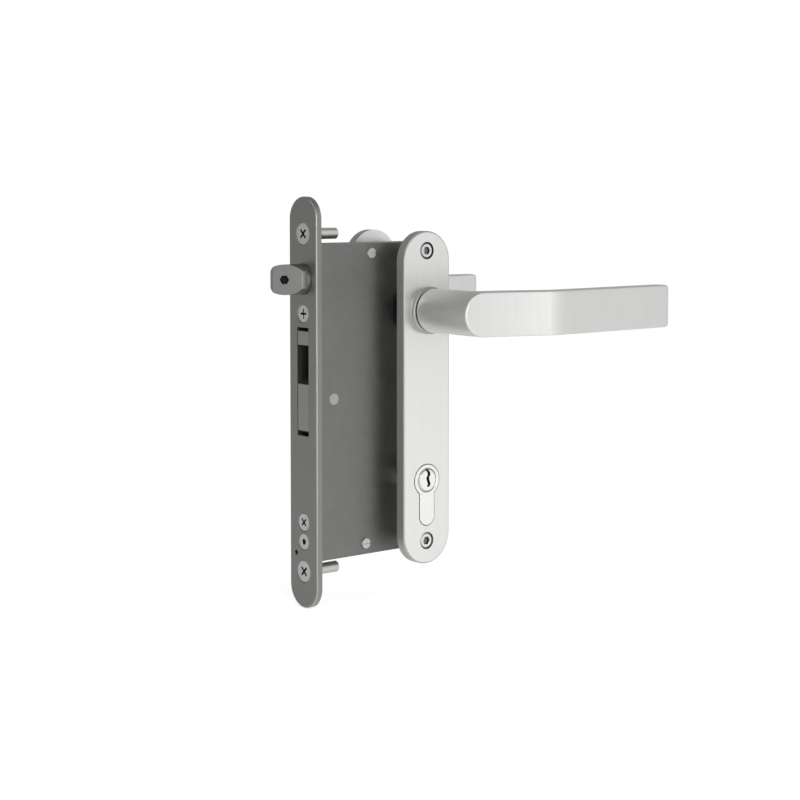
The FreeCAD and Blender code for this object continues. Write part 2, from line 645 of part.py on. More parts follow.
def make_latch_drive_pin():
    return rod_y(-CARRIAGE_HALF, CARRIAGE_HALF, DRIVE_PIN_X, DRIVE_PIN_Z, DRIVE_PIN_DIAMETER / 2)


def make_latch_spring():
    front = SPRING_POCKET_FRONT + SLIP
    length = RIB_FRONT - SLIP - front
    middle = (LATCH_SPRING_DIAMETER - LATCH_SPRING_WIRE) / 2
    return coil(middle, LATCH_SPRING_WIRE, length, LATCH_SPRING_TURNS, V(front, 0, LATCH_Z), V(1, 0, 0))


# Follower

def make_follower():
    hub = rod_y(-ARM_HALF, ARM_HALF, BACKSET, SPINDLE_Z, HUB_RADIUS)
    journal = rod_y(-CASE_HALF, CASE_HALF, BACKSET, SPINDLE_Z, HUB_JOURNAL)
    half = ARM_WIDTH / 2
    tip = SPINDLE_Z + ARM_LENGTH
    cut = ARM_TIP_CHAMFER
    arm = plate_y([(BACKSET - ARM_FLARE, SPINDLE_Z), (BACKSET + ARM_FLARE, SPINDLE_Z),
                   (BACKSET + half, SPINDLE_Z + HUB_RADIUS), (BACKSET + half, tip - cut),
                   (BACKSET + half - cut, tip), (BACKSET - half + cut, tip),
                   (BACKSET - half, tip - cut), (BACKSET - half, SPINDLE_Z + HUB_RADIUS)],
                  -ARM_HALF, ARM_HALF)
    arm.rotate(V(BACKSET, 0, SPINDLE_Z), V(0, 1, 0), ARM_REST)
    half_square = SPINDLE_SIZE / 2 + RUNNING
    square = block(BACKSET - half_square, BACKSET + half_square, -CASE_THICKNESS, CASE_THICKNESS,
                   SPINDLE_Z - half_square, SPINDLE_Z + half_square)
    return hub.multiFuse([journal, arm]).cut(square)


def make_follower_bushes():
    sleeve = ring_y(-CASE_HALF, -INNER_HALF, BACKSET, SPINDLE_Z, BUSH_OUTER, HUB_JOURNAL + RUNNING)
    flange = ring_y(-CASE_HALF - BUSH_FLANGE_THICKNESS, -CASE_HALF, BACKSET, SPINDLE_Z,
                    BUSH_FLANGE, HUB_JOURNAL + RUNNING)
    front = sleeve.fuse(flange)
    return [front, mirrored(front)]


def make_follower_spring():
    room = INNER_HALF - ARM_HALF - 2 * FREE
    middle = HUB_SPRING_INNER + HUB_SPRING_WIRE / 2
    start = V(BACKSET, ARM_HALF + FREE, SPINDLE_Z)
    return coil(middle, HUB_SPRING_WIRE, room, HUB_SPRING_TURNS, start, V(0, 1, 0))


# Hook bolt and drive slide

def tail_place():
    turn = HOOK_TURN / 2
    point = polar(HOOK_PIVOT_X, HOOK_PIVOT_Z, HOOK_TAIL_RADIUS, -turn)
    return point.x, point.z


def hook_travel():
    """Rise of the tail pin over the hook's whole turn."""
    return 2 * HOOK_TAIL_RADIUS * math.sin(math.radians(HOOK_TURN / 2))


def make_hook_bolt():
    y0 = -HOOK_THICKNESS / 2
    px = HOOK_PIVOT_X
    pz = HOOK_PIVOT_Z

    def at(dx, dz):
        return V(px + dx, y0, pz + dz)

    front = -HOOK_FRONT
    under = HOOK_BEAK_TOP - HOOK_BEAK_HEIGHT
    slope = at(front + HOOK_MOUTH_SAG_X, HOOK_BODY_TOP + HOOK_MOUTH_SAG_Z)
    lip = at(front + HOOK_MOUTH_LIP, HOOK_BODY_TOP + HOOK_MOUTH_RISE)
    inner = at(front + HOOK_MOUTH_LIP - 0.3, under)
    deep = at(front + HOOK_MOUTH_DEPTH, (HOOK_BODY_TOP + HOOK_MOUTH_RISE + under) / 2)
    crown = math.hypot(HOOK_FRONT, HOOK_BEAK_TOP)
    crown_start = math.degrees(math.atan2(HOOK_BEAK_TOP, front))
    crown_end = math.degrees(math.acos(HOOK_BACK / crown))
    toe = math.hypot(HOOK_FRONT, HOOK_BODY_BOTTOM)
    toe_end = math.degrees(math.atan2(-HOOK_BODY_BOTTOM, front))
    tail_x, tail_z = tail_place()
    heel = polar(px, pz, toe, HOOK_HEEL_ANGLE, y0)
    lug_low = polar(tail_x, tail_z, HOOK_LUG, HOOK_LUG_START, y0)
    lug_high = polar(tail_x, tail_z, HOOK_LUG, HOOK_LUG_END, y0)
    hub_high = polar(px, pz, HOOK_HUB, HOOK_HUB_END, y0)
    hub_low = polar(px, pz, HOOK_HUB, HOOK_HUB_START, y0)
    edges = [
        Part.LineSegment(at(front, -HOOK_BODY_BOTTOM), at(front, HOOK_BODY_TOP)).toShape(),
        Part.Arc(at(front, HOOK_BODY_TOP), slope, lip).toShape(),
        Part.Arc(lip, deep, inner).toShape(),
        Part.LineSegment(inner, at(front, under)).toShape(),
        Part.LineSegment(at(front, under), at(front, HOOK_BEAK_TOP)).toShape(),
        arc_about(px, pz, crown, crown_start, crown_end, y0),
        Part.LineSegment(polar(px, pz, crown, crown_end, y0), hub_high).toShape(),
        arc_about(px, pz, HOOK_HUB, HOOK_HUB_END, HOOK_HUB_START, y0),
        Part.LineSegment(hub_low, lug_high).toShape(),
        arc_about(tail_x, tail_z, HOOK_LUG, HOOK_LUG_END, HOOK_LUG_START, y0),
        Part.LineSegment(lug_low, heel).toShape(),
        arc_about(px, pz, toe, HOOK_HEEL_ANGLE, toe_end, y0),
    ]
    hook = Part.Face(Part.Wire(edges)).extrude(V(0, HOOK_THICKNESS, 0))
    pivot = rod_y(-HOOK_THICKNESS, HOOK_THICKNESS, px, pz, HOOK_PIVOT_DIAMETER / 2 + RUNNING)
    tail = rod_y(-HOOK_THICKNESS, HOOK_THICKNESS, tail_x, tail_z, TAIL_PIN_DIAMETER / 2 + RUNNING)
    return hook.cut([pivot, tail])


def make_hook_pivot_pin():
    return rod_y(-CASE_HALF, CASE_HALF, HOOK_PIVOT_X, HOOK_PIVOT_Z, HOOK_PIVOT_DIAMETER / 2)


def make_hook_spacers():
    inner = HOOK_PIVOT_DIAMETER / 2 + RUNNING
    front = ring_y(-INNER_HALF, -HOOK_THICKNESS / 2 - FREE, HOOK_PIVOT_X, HOOK_PIVOT_Z,
                   SPACER_DIAMETER / 2, inner)
    return [front, mirrored(front)]


def slide_front_y():
    return HOOK_THICKNESS / 2 + SLIDE_GAP


def make_hook_tail_pin():
    tail_x, tail_z = tail_place()
    rear = slide_front_y() + SLIDE_THICKNESS
    return rod_y(-HOOK_THICKNESS / 2, rear, tail_x, tail_z, TAIL_PIN_DIAMETER / 2)


def make_hook_slide():
    y0 = slide_front_y()
    y1 = y0 + SLIDE_THICKNESS
    tail_x, tail_z = tail_place()
    bar = block(SLIDE_FRONT_X, SLIDE_REAR_X, y0, y1, SLIDE_BOTTOM, SLIDE_TOP)
    arm = block(SLIDE_ARM_END, SLIDE_FRONT_X, y0, y1, tail_z - SLIDE_ARM_HALF, tail_z + SLIDE_ARM_HALF)
    talon_rear = BACKSET - CAM_SWEEP - WIDE - CAM_TIP_GAP
    talon = block(talon_rear - TALON_WIDTH, talon_rear, -CAM_HALF, y0,
                  CYLINDER_Z - TALON_HEIGHT / 2, CYLINDER_Z + TALON_HEIGHT / 2)
    plate = bar.multiFuse([arm, talon]).removeSplitter()
    reach = TAIL_PIN_DIAMETER / 2 + SLIDE_SLOT_PLAY
    farthest = HOOK_PIVOT_X + HOOK_TAIL_RADIUS
    tail_slot = block(tail_x, farthest, y0 - 1, y1 + 1, tail_z - reach, tail_z + reach)
    tail_slot = tail_slot.multiFuse([rod_y(y0 - 1, y1 + 1, tail_x, tail_z, reach),
                                     rod_y(y0 - 1, y1 + 1, farthest, tail_z, reach)])
    travel = hook_travel() + WIDE
    guide = slot_y(y0 - 1, y1 + 1, GUIDE_X, GUIDE_LOWER_Z - travel, GUIDE_UPPER_Z,
                   GUIDE_PIN_DIAMETER / 2 + RUNNING)
    notch = rod_y(y0 - 1, y1 + 1, BACKSET, CYLINDER_Z, CAM_SWEEP)
    return plate.cut([tail_slot, guide, notch])


def make_slide_guide_pins():
    pins = []
    for z in (GUIDE_UPPER_Z, GUIDE_LOWER_Z):
        shank = rod_y(slide_front_y() - SLIP, CASE_HALF, GUIDE_X, z, GUIDE_PIN_DIAMETER / 2)
        head = rod_y(slide_front_y() - SLIP - GUIDE_HEAD_THICKNESS, slide_front_y() - SLIP,
                     GUIDE_X, z, GUIDE_HEAD_DIAMETER / 2)
        pins.append(shank.fuse(head))
    return pins


# Shields

def shield_screw_places():
    return (SHIELD_SCREW_UPPER_Z, SHIELD_SCREW_LOWER_Z)


def make_front_shield():
    back = -PROFILE_DEPTH / 2
    front = back - SHIELD_THICKNESS
    half = SHIELD_WIDTH / 2
    low = SHIELD_TOP - SHIELD_HEIGHT + half
    high = SHIELD_TOP - half
    plate = slot_y(front, back, BACKSET, low, high, half).removeSplitter()
    rim = edges_where(plate, lambda b: b.YMax < front + 0.01)
    plate = plate.makeFillet(SHIELD_EDGE, rim)
    cuts = [rod_y(front - 1, back + 1, BACKSET, SPINDLE_Z, JOURNAL_DIAMETER / 2 + FREE)]
    cuts.append(euro_prism(front - 1, back + 1, SHIELD_PROFILE_GAP))
    for z in shield_screw_places():
        cuts.append(rod_y(front - 1, back + 1, BACKSET, z, SLEEVE_DIAMETER / 2 + SLIP))
        floor = front + SHIELD_HEAD_SUNK + SHIELD_HEAD_HEIGHT
        cuts.append(rod_y(front - 1, floor, BACKSET, z, SHIELD_SCREW_SINK / 2))
    return plate.cut(cuts)


def shield_head(z):
    """Head of a shield screw, sunk in the front shield, with its hexagon socket."""
    face = -PROFILE_DEPTH / 2 - SHIELD_THICKNESS + SHIELD_HEAD_SUNK
    head = rod_y(face, face + SHIELD_HEAD_HEIGHT, BACKSET, z, SHIELD_SCREW_HEAD / 2)
    head = head.makeChamfer(SHIELD_HEAD_EDGE, edges_where(head, lambda b: b.YMax < face + SLIP))
    socket = hexagon(SHIELD_SCREW_HEX, SHIELD_HEX_DEPTH, V(BACKSET, face, z), V(0, 1, 0), V(1, 0, 0))
    return head, socket, face + SHIELD_HEAD_HEIGHT


def make_shield_screws():
    screws = []
    for z in shield_screw_places():
        head, socket, under = shield_head(z)
        shank = rod_y(under, under + SHIELD_SCREW_LENGTH, BACKSET, z, SHIELD_SCREW_SHANK / 2)
        screws.append(head.fuse(shank).cut(socket))
    return screws


def make_shield_sleeves():
    sleeves = []
    for z in shield_screw_places():
        head, socket, under = shield_head(z)
        tube = rod_y(under, -SLEEVE_FRONT, BACKSET, z, SLEEVE_DIAMETER / 2)
        thread = rod_y(under + SLEEVE_FLOOR, -SLEEVE_FRONT + 1, BACKSET, z, SHIELD_SCREW_SHANK / 2 + RUNNING)
        sleeves.append(mirrored(head.fuse(tube).cut([socket, thread])))
    return sleeves


# Collars, spindle and levers

def collar_face():
    return PROFILE_DEPTH / 2 + SHIELD_THICKNESS + COLLAR_HEIGHT


def neck_start():
    return collar_face() + WASHER_THICKNESS + 2 * SLIP


def make_front_collar():
    base = -PROFILE_DEPTH / 2 - SHIELD_THICKNESS
    collar = rod_y(-collar_face(), base, BACKSET, SPINDLE_Z, COLLAR_DIAMETER / 2)
    rim = edges_where(collar, lambda b: b.YMax < -collar_face() + 0.01)
    collar = collar.makeChamfer(COLLAR_EDGE, rim)
    bore = rod_y(-collar_face() - 1, base + 1, BACKSET, SPINDLE_Z, JOURNAL_DIAMETER / 2 + RUNNING)
    return collar.cut(bore)


def make_lever_washers():
    outer = -collar_face() - SLIP
    front = ring_y(outer - WASHER_THICKNESS, outer, BACKSET, SPINDLE_Z, WASHER_DIAMETER / 2,
                   JOURNAL_DIAMETER / 2 + RUNNING)
    return [front, mirrored(front)]


def lever_plan():
    """Plan outline of the lever's arm at the height of its underside."""
    z = SPINDLE_Z - LEVER_HEIGHT / 2
    radius = LEVER_HEIGHT / 2
    start_x = BACKSET - radius
    bend_x = BACKSET + LEVER_BEND_REACH
    tip_x = BACKSET + LEVER_REACH
    inner_knuckle = LEVER_KNUCKLE_OUT - LEVER_THICKNESS
    inner_bend = LEVER_BEND_OUT - LEVER_THICKNESS
    inner_tip = LEVER_TIP_OUT - LEVER_THICKNESS
    inner_bend_x = bend_x + LEVER_INNER_BEND
    inner_start_x = BACKSET + LEVER_INNER_START

    def at(x, out):
        return V(x, -out, z)

    middle_out = (LEVER_KNUCKLE_OUT + LEVER_BEND_OUT) / 2 - LEVER_SWOOP
    inner_middle = (inner_knuckle + inner_bend) / 2 - LEVER_SWOOP + LEVER_THINNING
    edges = [
        Part.Arc(at(start_x, LEVER_KNUCKLE_OUT), at((start_x + bend_x) / 2, middle_out),
                 at(bend_x, LEVER_BEND_OUT)).toShape(),
        Part.LineSegment(at(bend_x, LEVER_BEND_OUT), at(tip_x - LEVER_TIP_BULGE, LEVER_TIP_OUT)).toShape(),
        Part.Arc(at(tip_x - LEVER_TIP_BULGE, LEVER_TIP_OUT), at(tip_x, LEVER_TIP_OUT - LEVER_THICKNESS / 2),
                 at(tip_x - LEVER_TIP_BULGE, inner_tip)).toShape(),
        Part.LineSegment(at(tip_x - LEVER_TIP_BULGE, inner_tip), at(inner_bend_x, inner_bend)).toShape(),
        Part.Arc(at(inner_bend_x, inner_bend), at((inner_start_x + inner_bend_x) / 2, inner_middle),
                 at(inner_start_x, inner_knuckle)).toShape(),
        Part.LineSegment(at(inner_start_x, inner_knuckle), at(start_x, inner_knuckle)).toShape(),
        Part.LineSegment(at(start_x, inner_knuckle), at(start_x, LEVER_KNUCKLE_OUT)).toShape(),
    ]
    return Part.Face(Part.Wire(edges))


def make_lever(rear):
    """Lever with its journal. The rear one is the same piece turned over about its own length."""
    radius = LEVER_HEIGHT / 2
    arm = lever_plan().extrude(V(0, 0, LEVER_HEIGHT))
    outer = -LEVER_BEND_OUT - LEVER_THICKNESS
    tip = BACKSET + LEVER_REACH + 1
    elevation = block(BACKSET, tip, outer, 0, SPINDLE_Z - radius, SPINDLE_Z + radius)
    elevation = elevation.fuse(rod_y(outer, 0, BACKSET, SPINDLE_Z, radius))
    arm = arm.common(elevation)
    neck = rod_y(-LEVER_KNUCKLE_OUT + LEVER_THICKNESS / 2, -neck_start(), BACKSET, SPINDLE_Z, radius)
    lever = arm.fuse(neck).removeSplitter()
    tip_edges = edges_where(lever, lambda b: b.XMin > BACKSET + LEVER_REACH - LEVER_THICKNESS
                            and b.YLength > LEVER_THICKNESS * 0.9)
    lever = lever.makeFillet(LEVER_CORNER, tip_edges)
    journal = rod_y(-neck_start() - 1, -PROFILE_DEPTH / 2 - WIDE, BACKSET, SPINDLE_Z, JOURNAL_DIAMETER / 2)
    lever = lever.fuse(journal)
    grub_y = -GRUB_OUT
    if rear:
        lever.rotate(V(BACKSET, 0, SPINDLE_Z), V(1, 0, 0), 180)
        grub_y = GRUB_OUT
    half_square = SPINDLE_SIZE / 2 + RUNNING
    half_length = SPINDLE_LENGTH / 2 + WIDE
    square = block(BACKSET - half_square, BACKSET + half_square, -half_length, half_length,
                   SPINDLE_Z - half_square, SPINDLE_Z + half_square)
    grub = rod_z(SPINDLE_Z - radius - 1, SPINDLE_Z, BACKSET, grub_y, GRUB_DIAMETER / 2 + RUNNING)
    return lever.cut([square, grub])


def make_lever_grub_screws():
    low = SPINDLE_Z - LEVER_HEIGHT / 2 + WIDE
    high = SPINDLE_Z - SPINDLE_SIZE / 2
    screw = rod_z(low, high, BACKSET, -GRUB_OUT, GRUB_DIAMETER / 2)
    screw = screw.cut(hexagon(GRUB_HEX, GRUB_HEX_DEPTH, V(BACKSET, -GRUB_OUT, low), V(0, 0, 1), V(1, 0, 0)))
    return [screw, mirrored(screw)]


def make_spindle():
    half = SPINDLE_SIZE / 2
    return block(BACKSET - half, BACKSET + half, -SPINDLE_LENGTH / 2, SPINDLE_LENGTH / 2,
                 SPINDLE_Z - half, SPINDLE_Z + half)


# Files

def save(name, shape):
    solids = shape if isinstance(shape, list) else [shape]
    body = solids[0] if len(solids) == 1 else Part.makeCompound(solids)
    body.exportStep("parts/" + name + ".step")
    print(name, len(body.Solids), round(body.Volume, 1), body.isValid())


def main():
    os.makedirs("parts", exist_ok=True)
    shield = make_front_shield()
    collar = make_front_collar()
    plug = make_plug_front()
    nodes = {
        "faceplate": make_faceplate(),
        "gate_fixing_screws": make_gate_fixing_screws(),
        "case_screws": make_case_screws(),
        "cylinder_screw": make_cylinder_screw(),
        "case_body": make_case_body(),
        "case_cover": make_case_cover(),
        "cover_screws": make_cover_screws(),
        "cylinder_body": make_cylinder_body(),
        "plug_front": plug,
        "plug_rear": mirrored(plug),
        "cylinder_cam": make_cylinder_cam(),
        "latch_bolt": make_latch_bolt(),
        "latch_stem": make_latch_stem(),
        "latch_carriage": make_latch_carriage(),
        "latch_drive_pin": make_latch_drive_pin(),
        "latch_spring": make_latch_spring(),
        "follower": make_follower(),
        "follower_bushes": make_follower_bushes(),
        "follower_spring": make_follower_spring(),
        "hook_bolt": make_hook_bolt(),
        "hook_pivot_pin": make_hook_pivot_pin(),
        "hook_spacers": make_hook_spacers(),
        "hook_tail_pin": make_hook_tail_pin(),
        "hook_slide": make_hook_slide(),
        "slide_guide_pins": make_slide_guide_pins(),
        "front_shield": shield,
        "rear_shield": mirrored(shield),
        "shield_screws": make_shield_screws(),
        "shield_sleeves": make_shield_sleeves(),
        "front_collar": collar,
        "rear_collar": mirrored(collar),
        "lever_washers": make_lever_washers(),
        "spindle": make_spindle(),
        "front_lever": make_lever(False),
        "rear_lever": make_lever(True),
        "lever_grub_screws": make_lever_grub_screws(),
    }
    for name, shape in nodes.items():
        save(name, shape)


main()
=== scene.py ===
import json
import math

import bpy
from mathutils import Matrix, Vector

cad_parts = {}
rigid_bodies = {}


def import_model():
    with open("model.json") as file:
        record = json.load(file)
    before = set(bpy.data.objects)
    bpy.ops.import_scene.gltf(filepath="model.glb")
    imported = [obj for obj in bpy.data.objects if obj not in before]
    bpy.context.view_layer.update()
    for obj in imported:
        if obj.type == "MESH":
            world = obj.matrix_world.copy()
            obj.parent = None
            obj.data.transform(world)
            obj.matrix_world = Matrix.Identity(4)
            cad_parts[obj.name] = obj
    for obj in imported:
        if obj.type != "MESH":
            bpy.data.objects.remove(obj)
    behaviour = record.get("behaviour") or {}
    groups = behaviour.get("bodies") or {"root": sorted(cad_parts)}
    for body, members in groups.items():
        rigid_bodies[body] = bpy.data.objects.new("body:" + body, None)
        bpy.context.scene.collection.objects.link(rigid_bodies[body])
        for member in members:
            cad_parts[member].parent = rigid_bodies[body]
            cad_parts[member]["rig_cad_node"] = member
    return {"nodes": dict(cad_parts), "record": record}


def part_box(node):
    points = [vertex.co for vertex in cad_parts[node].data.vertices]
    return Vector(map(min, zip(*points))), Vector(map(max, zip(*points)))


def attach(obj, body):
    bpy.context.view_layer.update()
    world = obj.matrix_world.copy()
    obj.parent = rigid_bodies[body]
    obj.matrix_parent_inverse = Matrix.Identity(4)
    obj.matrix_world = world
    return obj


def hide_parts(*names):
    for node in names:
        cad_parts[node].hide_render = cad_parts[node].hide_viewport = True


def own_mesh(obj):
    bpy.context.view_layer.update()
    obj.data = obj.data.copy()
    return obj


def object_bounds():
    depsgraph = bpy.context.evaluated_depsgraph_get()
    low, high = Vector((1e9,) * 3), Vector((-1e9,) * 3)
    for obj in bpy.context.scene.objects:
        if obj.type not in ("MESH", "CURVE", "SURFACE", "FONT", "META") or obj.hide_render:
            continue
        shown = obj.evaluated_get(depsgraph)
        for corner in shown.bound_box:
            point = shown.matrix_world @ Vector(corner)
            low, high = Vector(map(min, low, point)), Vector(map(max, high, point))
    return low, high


MM = 0.001

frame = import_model()
cad_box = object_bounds()
nodes = frame["nodes"]


# Selection

def deselect():
    if bpy.context.object and bpy.context.object.mode == "EDIT":
        bpy.ops.object.mode_set(mode="OBJECT")
    bpy.ops.object.select_all(action="DESELECT")


def activate(piece):
    deselect()
    piece.select_set(True)
    bpy.context.view_layer.objects.active = piece


# Materials

# Heights and spacings in mm. A small scale along Z draws a pattern out into upright lines.
BUMP_HEIGHT = 0.02
ANODISED_GRIT = 0.35
LINISHED_LINE = 1.1
LINISHED_SCALE_Z = 0.015
BRUSHED_SCALE_Z = 0.02


def linear(hex_colour):
    """An sRGB hex colour as linear RGBA."""
    values = []
    for k in (1, 3, 5):
        share = int(hex_colour[k:k + 2], 16) / 255
        values.append(share / 12.92 if share <= 0.04045 else ((share + 0.055) / 1.055) ** 2.4)
    return (*values, 1.0)


def add_node(tree, kind, settings=None, links=None):
    """Adds one node. Settings name sockets by name or number, or attributes.
    Links name the sockets that they feed."""
    node = tree.nodes.new(kind)
    for name, value in (settings or {}).items():
        if isinstance(name, str) and hasattr(node, name) and name not in node.inputs:
            setattr(node, name, value)
        else:
            node.inputs[name].default_value = value
    for name, source in (links or {}).items():
        tree.links.new(source, node.inputs[name])
    return node


def new_material(name):
    material = bpy.data.materials.new(name)
    material.use_nodes = True
    material.node_tree.nodes.clear()
    return material, material.node_tree


def close_material(tree, shader):
    output = add_node(tree, "ShaderNodeOutputMaterial")
    tree.links.new(shader.outputs[0], output.inputs["Surface"])


def satin_anodised_aluminium(name, dark, light, smooth, rough):
    """Aluminium, linished upright and then clear anodised: silver satin with faint upright lines.
    The real lines are finer than a tenth of a millimetre. They are drawn coarser here, so that they show."""
    material, tree = new_material(name)
    place = add_node(tree, "ShaderNodeTexCoord").outputs["Object"]
    grit = add_node(tree, "ShaderNodeTexNoise",
                    {"Scale": 1 / (ANODISED_GRIT * MM), "Detail": 3.0, "Roughness": 0.6},
                    {"Vector": place}).outputs["Fac"]
    drawn = add_node(tree, "ShaderNodeMapping", {"Scale": (1.0, 1.0, LINISHED_SCALE_Z)},
                     {"Vector": place}).outputs[0]
    lines = add_node(tree, "ShaderNodeTexNoise",
                     {"Scale": 1 / (LINISHED_LINE * MM), "Detail": 3.0, "Roughness": 0.7},
                     {"Vector": drawn}).outputs["Fac"]
    colour = add_node(tree, "ShaderNodeMix", {"data_type": "RGBA", 6: linear(dark), 7: linear(light)},
                      {0: lines}).outputs[2]
    gloss = add_node(tree, "ShaderNodeMapRange", {"To Min": smooth, "To Max": rough},
                     {"Value": lines}).outputs[0]
    bump = add_node(tree, "ShaderNodeBump", {"Strength": 0.10, "Distance": BUMP_HEIGHT * MM},
                    {"Height": grit}).outputs[0]
    shader = add_node(tree, "ShaderNodeBsdfPrincipled", {"Metallic": 1.0},
                      {"Base Color": colour, "Roughness": gloss, "Normal": bump})
    close_material(tree, shader)
    return material


def brushed_stainless(name, dark, light, grain_mm, rough):
    """Stainless steel brushed or ground upright: grey, with long fine streaks of tone and gloss.
    The real grain is finer than it is drawn here, so that it shows."""
    material, tree = new_material(name)
    place = add_node(tree, "ShaderNodeTexCoord").outputs["Object"]
    stretched = add_node(tree, "ShaderNodeMapping", {"Scale": (1.0, 1.0, BRUSHED_SCALE_Z)},
                         {"Vector": place}).outputs[0]
    streaks = add_node(tree, "ShaderNodeTexNoise",
                       {"Scale": 1 / (grain_mm * MM), "Detail": 4.0, "Roughness": 0.65},
                       {"Vector": stretched}).outputs["Fac"]
    colour = add_node(tree, "ShaderNodeMix", {"data_type": "RGBA", 6: linear(dark), 7: linear(light)},
                      {0: streaks}).outputs[2]
    sheen = add_node(tree, "ShaderNodeMapRange", {"To Min": rough - 0.06, "To Max": rough + 0.08},
                     {"Value": streaks}).outputs[0]
    bump = add_node(tree, "ShaderNodeBump", {"Strength": 0.15, "Distance": BUMP_HEIGHT * MM},
                    {"Height": streaks}).outputs[0]
    shader = add_node(tree, "ShaderNodeBsdfPrincipled", {"Metallic": 1.0},
                      {"Base Color": colour, "Roughness": sheen, "Normal": bump})
    close_material(tree, shader)
    return material


def plain_metal(name, dark, light, grit_mm, rough):
    """Turned, pressed or plated metal with a faint mottle of tone and gloss."""
    material, tree = new_material(name)
    place = add_node(tree, "ShaderNodeTexCoord").outputs["Object"]
    grit = add_node(tree, "ShaderNodeTexNoise", {"Scale": 1 / (grit_mm * MM), "Detail": 3.0},
                    {"Vector": place}).outputs["Fac"]
    colour = add_node(tree, "ShaderNodeMix", {"data_type": "RGBA", 6: linear(dark), 7: linear(light)},
                      {0: grit}).outputs[2]
    gloss = add_node(tree, "ShaderNodeMapRange", {"To Min": rough - 0.05, "To Max": rough + 0.05},
                     {"Value": grit}).outputs[0]
    bump = add_node(tree, "ShaderNodeBump", {"Strength": 0.08, "Distance": BUMP_HEIGHT * MM},
                    {"Height": grit}).outputs[0]
    shader = add_node(tree, "ShaderNodeBsdfPrincipled", {"Metallic": 1.0},
                      {"Base Color": colour, "Roughness": gloss, "Normal": bump})
    close_material(tree, shader)
    return material


def dark_dull_surface(name, dark, light, grain_mm, rough):
    """A nearly black surface that isn't bare metal: hardly glossy, with a fine mottle and grain."""
    material, tree = new_material(name)
    place = add_node(tree, "ShaderNodeTexCoord").outputs["Object"]
    grain = add_node(tree, "ShaderNodeTexNoise", {"Scale": 1 / (grain_mm * MM), "Detail": 2.0},
                     {"Vector": place}).outputs["Fac"]
    colour = add_node(tree, "ShaderNodeMix", {"data_type": "RGBA", 6: linear(dark), 7: linear(light)},
                      {0: grain}).outputs[2]
    bump = add_node(tree, "ShaderNodeBump", {"Strength": 0.1, "Distance": BUMP_HEIGHT * MM},
                    {"Height": grain}).outputs[0]
    shader = add_node(tree, "ShaderNodeBsdfPrincipled", {"Roughness": rough},
                      {"Base Color": colour, "Normal": bump})
    close_material(tree, shader)
    return material


# Aluminium: the extruded shields are light and smoothest, the cast levers more matt, the turned collars
# darker, and the shields' sawn edges the dullest, with painted shade making them darker as well.
shield_aluminium = satin_anodised_aluminium(
    "satin_anodised_aluminium_shield", "#E9E9E7", "#F4F4F2", smooth=0.28, rough=0.42)
lever_aluminium = satin_anodised_aluminium(
    "satin_anodised_aluminium_lever", "#D9D9D7", "#E5E5E3", smooth=0.48, rough=0.58)
collar_aluminium = satin_anodised_aluminium(
    "turned_anodised_aluminium_collar", "#A6A6A4", "#B2B2B0", smooth=0.36, rough=0.48)
aluminium_edge_painted_shade = satin_anodised_aluminium(
    "dull_anodised_aluminium_edge_painted_shade", "#B9B9B7", "#C6C6C4", smooth=0.50, rough=0.62)

# Stainless steel: the faceplate is brushed to a mid grey, its rounded edge has a painted highlight, lighter
# and a little glossier, and the bolts are ground to an even sheen.
plate_steel = brushed_stainless("brushed_stainless_faceplate", "#858682", "#999A96", 0.30, 0.42)
plate_edge_painted_highlight = brushed_stainless("stainless_plate_edge_painted_highlight", "#A3A4A0", "#B1B2AE", 0.30, 0.36)
bolt_steel = brushed_stainless("ground_stainless_bolt", "#91918F", "#9E9E9C", 0.40, 0.34)

# Screws: pale and glossy where turned or plated. The edge of a sunk head is duller, with painted shade on
# it:
# dark on the upper heads and mid grey on the lower ones.
screw_steel = plain_metal("turned_stainless_screw", "#C4C4C2", "#D2D2D0", 0.8, 0.34)
plated_screw = plain_metal("bright_zinc_plated_screw", "#E2E3E2", "#EEEFEE", 0.8, 0.32)
screw_edge_deep_painted_shade = plain_metal("screw_edge_deep_painted_shade", "#6E6E6C", "#7C7C7A", 0.8, 0.45)
screw_edge_light_painted_shade = plain_metal("screw_edge_light_painted_shade", "#B4B4B2", "#C0C0BE", 0.8, 0.45)

# Case and works: a broad soft mottle on pressed and on zinc plated sheet, and darker, glossier spring wire.
case_steel = plain_metal("pressed_stainless_case", "#777775", "#848482", 6.0, 0.42)
inner_steel = plain_metal("zinc_plated_steel", "#A2A4A6", "#B4B6B6", 4.0, 0.35)
spring_steel = plain_metal("drawn_spring_wire", "#8A8A8A", "#9A9A9A", 1.0, 0.30)

# Cylinder: satin nickel on brass, the whitest metal of the lock, greyer on the plug's chamfer as painted
# shade.
nickel = plain_metal("satin_nickel_brass", "#F7F6F2", "#FBFAF7", 0.5, 0.28)
nickel_chamfer_painted_shade = plain_metal("dull_nickel_painted_shade", "#BFBEBA", "#CCCBC7", 0.5, 0.34)

# Moulded nylon is black and slightly waxy. Sockets and key slots get painted shade, nearly black.
nylon = dark_dull_surface("moulded_nylon", "#1B1B1C", "#262627", 0.5, 0.5)
recess_painted_shade = dark_dull_surface("recess_painted_shade", "#161615", "#2B2B29", 0.6, 0.6)

MATERIAL_OF_SLOT = {
    "stainless_plate": plate_steel,
    "stainless_screw": screw_steel,
    "case_steel": case_steel,
    "bolt_steel": bolt_steel,
    "inner_steel": inner_steel,
    "spring_steel": spring_steel,
    "nickel_brass": nickel,
    "anodised_aluminium": shield_aluminium,
    "nylon": nylon,
}

# Nodes whose finish differs from the rest of their slot
MATERIAL_OF_NODE = {
    "front_lever": lever_aluminium,
    "rear_lever": lever_aluminium,
    "front_collar": collar_aluminium,
    "rear_collar": collar_aluminium,
    "shield_screws": plated_screw,
    "shield_sleeves": plated_screw,
}

SLOT_OF_NODE = {entry["node"]: entry["material_slot"] for entry in frame["record"]["subparts"]}
NODES_OF_BODY = frame["record"]["behaviour"]["bodies"]
BODY_OF_NODE = {name: body for body, names in NODES_OF_BODY.items() for name in names}


